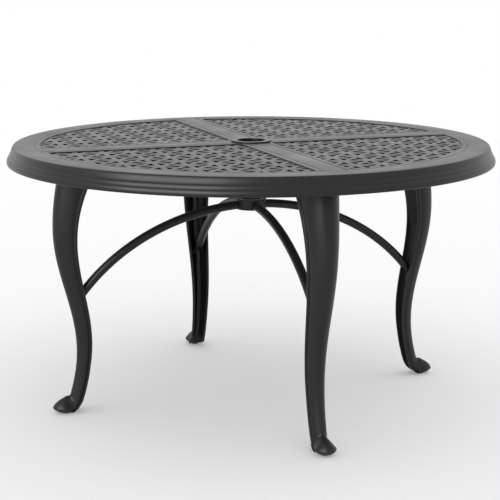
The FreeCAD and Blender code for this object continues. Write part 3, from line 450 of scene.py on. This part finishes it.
def leg_lines(z):
    """Front line, open edge and half width of a leg at heights z in mm.

    The front swings from top to knee to ankle to floor along stretches of cosines. Depth and width
    are powers of the height with a flare above the knee. The heel stands back a little below the
    ankle and tucks in at the floor along a quarter oval."""
    ankle_reach, knee_swing, toe_swing, top_swing = 403.6, 22.45, 29.2, 22.5
    foot_depth, more_depth, depth_flare = 24.9, 35.7, 15.7
    foot_half, more_half, half_flare = 17.95, 25.95, 5.6
    tuck_reach, tuck_height = 25.5, 30.0
    heel_reach, heel_start, heel_fade = 2.9, 105.0, 60.0
    above = np.clip((z - KNEE) / (LEG_TOP - KNEE), 0.0, 1.0)
    between = np.clip((z - ANKLE) / (KNEE - ANKLE), 0.0, 1.0)
    below = np.clip((ANKLE - z) / ANKLE, 0.0, 1.0)
    front = ankle_reach + knee_swing * (1 - np.cos(np.pi * between))
    front += toe_swing * (1 - np.cos(np.pi / 2 * below)) - top_swing * (1 - np.cos(np.pi / 2 * above))
    depth = foot_depth + more_depth * (z / LEG_TOP) ** 1.4 + depth_flare * above ** 2
    half_width = foot_half + more_half * (z / LEG_TOP) ** 1.6 + half_flare * above ** 2
    tuck = tuck_reach * (1 - np.sqrt(1 - np.clip(1 - z / tuck_height, 0.0, 1.0) ** 2))
    heel = heel_reach * np.clip((heel_start - z) / heel_fade, 0.0, 1.0)
    return front, front - depth + tuck - heel, half_width


def toe_radius(z):
    """Half length of the toe's oval at height z: a bowl up to the brim, a swelling cone above it, and a
    low lip round the brim with a shallow line over it, both bell curves."""
    swell = 20.0
    lip_proud, lip_height, lip_half = 0.7, TOE_BRIM - 2.0, 1.4
    line_depth, line_height, line_half = 0.8, TOE_BRIM + 1.0, 1.2
    bowl = TOE_LENGTH * np.sqrt(1 - np.clip(1 - z / TOE_BRIM, 0.0, 1.0) ** 2)
    up = np.clip((z - TOE_BRIM) / TOE_RISE, 0.0, None)
    cone = np.where(up < 1, (TOE_LENGTH + swell * up) * (1 - up), -(TOE_LENGTH + swell) * (up - 1))
    lip = lip_proud * np.exp(-(((z - lip_height) / lip_half) ** 2))
    line = line_depth * np.exp(-(((z - line_height) / line_half) ** 2))
    return np.where(z < TOE_BRIM, bowl, cone) + (lip - line)


def skin_stretch(front, edge, half_width, z, angle):
    """How far the skin of a leg lies out along each ray from the middle of its open edge, as a
    multiple of the leg's own half oval, so that leg and toe run into each other with a soft fillet.

    The surface is the zero of a smooth union of the two, found by halving. The toe's oval is an egg
    that narrows towards the heel, and its cone is pinched at the sides."""
    fillet, toe_slope, egg, egg_front, side_pinch = 9.0, 0.6, 0.3, 0.3, 0.15
    depth = front - edge
    pinch = side_pinch * np.sin(np.pi * np.clip((z - TOE_BRIM) / TOE_RISE, 0.0, 1.0)) ** 0.7
    toe_half = toe_radius(z)
    low = np.ones(np.broadcast(front, angle).shape)
    high = low * 3.0
    for _ in range(40):
        middle = (low + high) / 2
        x = edge + middle * depth * np.cos(angle)
        y = middle * half_width * np.sin(angle)
        to_leg = (middle - 1) * half_width
        forward = np.clip((x - TOE_REACH) / TOE_LENGTH, -1.0, egg_front)
        width = TOE_WIDTH * (1 + egg * forward) * (1 - pinch)
        to_toe = (np.hypot(x - TOE_REACH, y * TOE_LENGTH / width) - toe_half) * toe_slope
        share = np.clip(0.5 + 0.5 * (to_toe - to_leg) / fillet, 0.0, 1.0)
        gap = to_toe * (1 - share) + to_leg * share - fillet * share * (1 - share)
        low = np.where(gap < 0, middle, low)
        high = np.where(gap < 0, high, middle)
    return low


def hollow_lines(z, edge, depth, oval):
    """Reach and half breadth along half of the channel's inside, from its open edge down to the rib
    and over the rib's round nose.

    The bay is a half oval, blended into a flat splay above the brace, with the plate's bolts clear of
    it. It runs out at the heel. A lug brings the rib out towards the open edge, round the bolt of the
    brace."""
    front_wall, side_wall, lip_half, lip_set, bay_set = 5.5, 4.3, 0.5, 0.1, 0.6
    rib_breadth, rib_back, nose_round = 5.8, 14.0, 2.2
    lug_half, lug_narrowing, lug_forward = 26.0, 1.3, 6.0
    heel_reach, heel_height, heel_slope, heel_depth = 413.5, 30.0, 1.2, 0.4
    bay_depth, top_depth, top_start, top_fade = 26.0, 50.0, 480.0, 50.0
    splay_start, splay_fade = 355.0, 60.0
    lug = np.exp(-(((z - BOLT_HEIGHT) / lug_half) ** 4))
    rib_half = rib_breadth - lug_narrowing * lug
    rib_setback = rib_back - lug_forward * lug
    at_top = np.clip((z - top_start) / top_fade, 0.0, 1.0)
    splay = np.clip((z - splay_start) / splay_fade, 0.0, 1.0) * (1 - at_top)

    hollow = oval - side_wall
    over_heel = np.clip(z - heel_height, 0.0, None)
    heel_limit = np.maximum(heel_reach - edge + over_heel * heel_slope, heel_depth)
    floor_depth = np.minimum(np.minimum(depth - front_wall, heel_limit), bay_depth + top_depth * at_top)
    rib_turn = np.arcsin(rib_half / hollow)
    bay = np.pi / 2 + (rib_turn - np.pi / 2) * np.linspace(0.0, 1.0, 20)
    bay_shape = (1 - splay) * np.cos(bay) + splay * (1 - np.sin(bay) ** 1.3)
    bay_x = edge + bay_set + np.maximum(floor_depth - bay_set, 0.1) * bay_shape
    bay_y = hollow * np.sin(bay)

    nose = np.linspace(0.0, np.pi / 2, 6)
    rib_front = np.minimum(edge + rib_setback, bay_x[:, -1:] - 0.2)
    rib_round = np.minimum(nose_round, bay_x[:, -1:] - rib_front)
    rib_x = rib_front + rib_round * (1 - np.sin(nose))
    rib_y = rib_half - nose_round * (1 - np.cos(nose))
    inner_x = np.concatenate([edge + lip_set, bay_x, rib_x], axis=1)
    inner_x[-2:] = edge[-2:] + lip_set
    return inner_x, np.concatenate([hollow + lip_half, bay_y, rib_y], axis=1)


def glide_pocket(loop):
    """Three loops that close the foot of a leg inwards: a round pocket's mouth, its ceiling, and the
    middle of that, each with its points on the same rays as the given loop."""
    radius, top, reach = 11.4, 19.0, 431.0
    around = np.arctan2(loop[:, 1], loop[:, 0] - reach)
    mouth = np.stack([reach + radius * np.cos(around), radius * np.sin(around),
                      np.full(len(around), LEG_FOOT)], axis=-1)
    ceiling = mouth * [1, 1, 0] + [0, 0, top]
    middle = np.broadcast_to([reach, 0.0, top], ceiling.shape)
    return [middle, ceiling, mouth]


def leg_rows():
    """A leg on +X as a grid of points: one closed loop round the section for each height.

    A loop runs round the skin, which eases into a groove beside each bead, over the half-round bead,
    across the open edge and along the hollow to the rib, and the same way back. The top two loops run
    straight across the open edge instead, which makes the plate, and the last is drawn in to its
    middle line to shut it."""
    plate, border_share, bead_stand = 8.0, 0.22, 1.5
    groove, proud, bead_root, ease_start = 2.2, 2.0, 0.8, 0.86
    z = np.concatenate([np.linspace(LEG_FOOT, 46.0, 44), np.linspace(49.0, ANKLE, 30),
                        np.linspace(148.0, KNEE, 50), np.linspace(411.0, LEG_TOP - plate, 28),
                        [LEG_TOP - plate, LEG_TOP]])[:, None]
    front, edge, half_width = leg_lines(z)
    depth = front - edge
    border = border_share * depth
    oval = half_width - bead_stand
    lip_angle = np.arccos(border / depth)

    turn = np.linspace(1.0, -1.0, 101) * lip_angle
    stretch = skin_stretch(front, edge, oval, z, turn)
    ease = np.clip((np.abs(turn) / lip_angle - ease_start) / (1 - ease_start), 0.0, 1.0) ** 1.7
    skin_x = edge + stretch * depth * np.cos(turn)
    skin_y = (stretch * oval - groove * ease) * np.sin(turn)

    swell = np.sin(np.linspace(0, np.pi, 13)).clip(0) ** 0.6
    along = np.concatenate([[0.05, 0.14], np.linspace(0.2, 1.0, 13)])
    level = np.concatenate([[-groove, -groove], proud * swell - bead_root * (1 - swell)])
    side_x = edge + border * (1 - along)
    side_y = stretch[:, -1:] * oval * np.sqrt(1 - ((side_x - edge) / depth) ** 2) + level

    inner_x, inner_y = hollow_lines(z, edge, depth, oval)
    back_x = np.concatenate([side_x, inner_x], axis=1)
    back_y = np.concatenate([side_y, inner_y], axis=1)
    x = np.concatenate([skin_x, back_x, back_x[:, ::-1]], axis=1)
    y = np.concatenate([skin_y, -back_y, back_y[:, ::-1]], axis=1)
    loops = np.stack([x, y, z + 0 * x], axis=-1)
    lid = loops[-1] * [1, 0, 1]
    return np.concatenate([glide_pocket(loops[0]), loops, [lid]])


leg_shape = leg_rows()
leg_finish = coated("leg_charcoal_coat", CHARCOAL, 0.40)
for quarter, side in enumerate(SIDES):
    leg = mesh_piece("leg_casting_" + side, [turned(leg_shape, quarter)])
    placed(leg, leg_finish, "powder_coat", "table", "leg_" + side)

# Hub. A short turned aluminium collar on the table's axis that takes the upper ends of the four
# braces and lets the umbrella pole through. Powder coated like the legs.

HUB_RADIUS, HUB_BORE, HUB_FOOT, HUB_TOP = 34.0, 22.0, 427.4, 450.6
HUB_ROUND, BORE_ROUND = 1.6, 1.0
hub_profile = np.concatenate([
    arc(HUB_BORE + BORE_ROUND, HUB_TOP - BORE_ROUND, BORE_ROUND, 180, 90, 5),
    arc(HUB_RADIUS - HUB_ROUND, HUB_TOP - HUB_ROUND, HUB_ROUND, 90, 0, 7),
    arc(HUB_RADIUS - HUB_ROUND, HUB_FOOT + HUB_ROUND, HUB_ROUND, 0, -90, 7),
    arc(HUB_BORE + BORE_ROUND, HUB_FOOT + BORE_ROUND, BORE_ROUND, 270, 180, 5),
])
hub = mesh_piece("hub_collar", [carried_round(hub_profile, whole_turn(96))])
hub_finish = coated("hub_charcoal_coat", CHARCOAL, 0.38)
placed(hub, hub_finish, "powder_coat", "table", "brace_hub")

# Braces. Four round aluminium bars bent along one oval about the table's axis. Each butts on the hub,
# where a screw from inside holds it, and ends in a fork that is bolted across the rib of its leg.

BRACE_RADIUS, ARCH_HEIGHT, SOCKET_HEIGHT = 9.5, 41.2, 437.0
RIB_SETBACK, BOLT_EDGE, FORK_END = 7.0, 7.0, 8.0
BOLT_REACH = float(leg_lines(np.array([BOLT_HEIGHT]))[1][0]) + RIB_SETBACK + BOLT_EDGE
near_rise, far_rise = SOCKET_HEIGHT - ARCH_HEIGHT, BOLT_HEIGHT - ARCH_HEIGHT
arch_product = (BOLT_REACH * near_rise) ** 2 - (HUB_RADIUS * far_rise) ** 2
ARCH_REACH = math.sqrt(arch_product / (near_rise ** 2 - far_rise ** 2))
ARCH_RISE = math.sqrt(arch_product / (BOLT_REACH ** 2 - HUB_RADIUS ** 2))


def along_arch(turn, lift, side):
    """Points of the brace on +X: its middle line is an oval, and each point stands off it by lift,
    square to the line, and by side, across the table."""
    run, fall = ARCH_REACH * np.cos(turn), -ARCH_RISE * np.sin(turn)
    length = np.hypot(run, fall)
    x = ARCH_REACH * np.sin(turn) - lift * fall / length
    z = ARCH_HEIGHT + ARCH_RISE * np.cos(turn) + lift * run / length
    return np.stack(np.broadcast_arrays(x, side, z), axis=-1)


def brace_grids():
    """The bar as far as the root of its fork, coped to the hub, and the two tines of the fork, which
    are what a slot leaves of the bar. A flat is cut on each tine for the bolt."""
    slot_half, slot_gap, cope_gap = 4.8, 0.3, 0.2
    flat_half, flat_start, flat_step = 8.0, 6.1, 0.1
    bolt_turn = math.asin(BOLT_REACH / ARCH_REACH)
    run, fall = ARCH_REACH * math.cos(bolt_turn), ARCH_RISE * math.sin(bolt_turn)
    pace = math.hypot(run, fall)
    slot_back = (BOLT_EDGE + slot_gap + BRACE_RADIUS * fall / pace) / (run / pace)
    root, end = bolt_turn - slot_back / pace, bolt_turn + FORK_END / pace

    around = whole_turn(40)
    turns = np.linspace(math.asin(HUB_RADIUS / ARCH_REACH), root, 70)[:, None]
    bar = along_arch(turns, BRACE_RADIUS * np.cos(around), BRACE_RADIUS * np.sin(around))
    bar[0, :, 0] = np.sqrt((HUB_RADIUS + cope_gap) ** 2 - bar[0, :, 1] ** 2)
    bar_end = along_arch(turns[-1:], 0 * around, 0 * around)
    bar = np.concatenate([bar[:1] * [1, 0, 1], bar, bar_end])

    face_turn = math.acos(slot_half / BRACE_RADIUS)
    around = np.linspace(-face_turn, face_turn, 25)
    turns = np.concatenate([np.linspace(root, bolt_turn - (flat_start + flat_step) / pace, 8),
                            np.linspace(bolt_turn - (flat_start - flat_step) / pace, end, 8)])[:, None]
    limit = np.where(turns < bolt_turn - flat_start / pace, BRACE_RADIUS, flat_half)
    lift = BRACE_RADIUS * np.sin(around) + 0 * limit
    reach = np.minimum(BRACE_RADIUS * np.cos(around), limit)
    tine = np.concatenate([along_arch(turns[:1], 0 * lift[:1], reach[:1]),
                           along_arch(turns, lift, reach),
                           along_arch(turns[-1:], 0 * lift[-1:], reach[-1:])])
    return [bar, tine, tine * [1, -1, 1]]


brace_shape = brace_grids()
brace_finish = coated("brace_charcoal_coat", CHARCOAL, 0.38)
for quarter, side in enumerate(SIDES):
    brace = mesh_piece("brace_bar_" + side, [turned(rows, quarter) for rows in brace_shape])
    placed(brace, brace_finish, "powder_coat", "table", "brace_" + side)

# Glides. A dark nylon foot whose stem screws into the pocket of each toe and levels the table. The
# frame's own turned solids are shown, with a finely grained moulded finish.


def dress(node, finish):
    """Give a solid of the frame its finish."""
    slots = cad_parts[node].data.materials
    slots.clear()
    slots.append(finish)


glide_finish = coated("glide_nylon", (0.03, 0.03, 0.03), 0.5, stipple=1600.0, bump=0.08)
for side in SIDES:
    dress("glide_" + side, glide_finish)

# Fasteners. Zinc plated steel bolts and washers under the leg plates, screws up into the panels and cap
# screws inside the hub. The cross bolts and nuts of the forks are coated like the legs they sit in.


def zinc_plate():
    """Bright zinc: a metal whose grey and gloss drift in soft patches."""
    finish = bpy.data.materials.new("zinc_plate")
    finish.use_nodes = True
    nodes, links = finish.node_tree.nodes, finish.node_tree.links
    shader = nodes["Principled BSDF"]
    shader.inputs["Metallic"].default_value = 1.0
    place = nodes.new("ShaderNodeTexCoord")
    cloud = nodes.new("ShaderNodeTexNoise")
    cloud.inputs["Scale"].default_value = 260.0
    cloud.inputs["Detail"].default_value = 4.0
    tone = nodes.new("ShaderNodeValToRGB")
    tone.color_ramp.elements[0].color = (0.34, 0.35, 0.36, 1)
    tone.color_ramp.elements[1].color = (0.56, 0.56, 0.55, 1)
    gloss = ranged(finish.node_tree, cloud.outputs["Fac"], (0.0, 1.0), (0.28, 0.5))
    links.new(place.outputs["Object"], cloud.inputs["Vector"])
    links.new(cloud.outputs["Fac"], tone.inputs["Fac"])
    links.new(tone.outputs["Color"], shader.inputs["Base Color"])
    links.new(gloss.outputs["Result"], shader.inputs["Roughness"])
    return finish


fastener_finish = zinc_plate()
for node in ("leg_bolts", "leg_washers", "panel_screws", "hub_screws"):
    dress(node, fastener_finish)
coated_steel = coated("coated_steel", CHARCOAL, 0.42, stipple=1400.0)
for node in ("brace_bolts", "brace_nuts"):
    dress(node, coated_steel)

# Studio. A seamless white floor that runs out to white, an even white sky, one wide soft box at the
# front left that only shows as a gleam, and the camera of the photograph.

FLOOR_HALF = 30.0


def floor_paper():
    """White paper that keeps the table's shadow near it and fades to the white of the sky far off."""
    finish = bpy.data.materials.new("floor_paper")
    finish.use_nodes = True
    nodes, links = finish.node_tree.nodes, finish.node_tree.links
    shader = nodes["Principled BSDF"]
    shader.inputs["Base Color"].default_value = (0.97, 0.97, 0.97, 1)
    shader.inputs["Roughness"].default_value = 1.0
    shader.inputs["Specular IOR Level"].default_value = 0.0
    white = nodes.new("ShaderNodeEmission")
    rays = nodes.new("ShaderNodeLightPath")
    place = nodes.new("ShaderNodeTexCoord")
    reach = nodes.new("ShaderNodeVectorMath")
    reach.operation = "LENGTH"
    fade = ranged(finish.node_tree, reach.outputs["Value"], (1.0, 5.0), (0.2, 1.0))
    fade.interpolation_type = "SMOOTHSTEP"
    shown = nodes.new("ShaderNodeMath")
    mirrored = nodes.new("ShaderNodeMath")
    mirrored.use_clamp = True
    seen = nodes.new("ShaderNodeMath")
    seen.operation = "MULTIPLY"
    mix = nodes.new("ShaderNodeMixShader")
    links.new(rays.outputs["Is Camera Ray"], shown.inputs[0])
    links.new(rays.outputs["Is Glossy Ray"], shown.inputs[1])
    links.new(shown.outputs["Value"], mirrored.inputs[0])
    links.new(rays.outputs["Is Transmission Ray"], mirrored.inputs[1])
    links.new(place.outputs["Object"], reach.inputs[0])
    links.new(fade.outputs["Result"], seen.inputs[0])
    links.new(mirrored.outputs["Value"], seen.inputs[1])
    links.new(seen.outputs["Value"], mix.inputs["Fac"])
    links.new(shader.outputs["BSDF"], mix.inputs[1])
    links.new(white.outputs["Emission"], mix.inputs[2])
    links.new(mix.outputs["Shader"], nodes["Material Output"].inputs["Surface"])
    return finish


floor_mesh = bpy.data.meshes.new("studio_floor")
floor_corners = [(FLOOR_HALF * x, FLOOR_HALF * y, 0) for x, y in ((-1, -1), (1, -1), (1, 1), (-1, 1))]
floor_mesh.from_pydata(floor_corners, [], [(0, 1, 2, 3)])
floor = added("studio_floor", floor_mesh)
floor.data.materials.append(floor_paper())

world = bpy.data.worlds.new("studio")
bpy.context.scene.world = world
world.use_nodes = True
sky = world.node_tree.nodes["Background"]
sky.inputs["Color"].default_value = (1, 1, 1, 1)
sky.inputs["Strength"].default_value = 1.0

box_light = bpy.data.lights.new("soft_box", "AREA")
box_light.shape = "RECTANGLE"
box_light.size = 2.5
box_light.size_y = 1.7
box_light.energy = 92.0
soft_box = added("soft_box", box_light)
soft_box.location = (-2.16, -1.39, 1.52)
soft_box.rotation_euler = (math.radians(63), 0, math.radians(-47))
soft_box.visible_diffuse = False
soft_box.visible_camera = False

CAMERA_DROP, CAMERA_TURN = 11.8976, -19.9455
camera_data = bpy.data.cameras.new("photo_camera")
camera_data.sensor_width = 36.0
camera_data.lens = 95.166
camera_data.shift_x = -0.00214
camera = added("photo_camera", camera_data)
camera.location = (-0.9924, -2.7346, 0.9450)
camera.rotation_euler = (math.radians(90 - CAMERA_DROP), 0, math.radians(CAMERA_TURN))
bpy.context.scene.camera = camera
bpy.context.scene.view_settings.view_transform = "Standard"
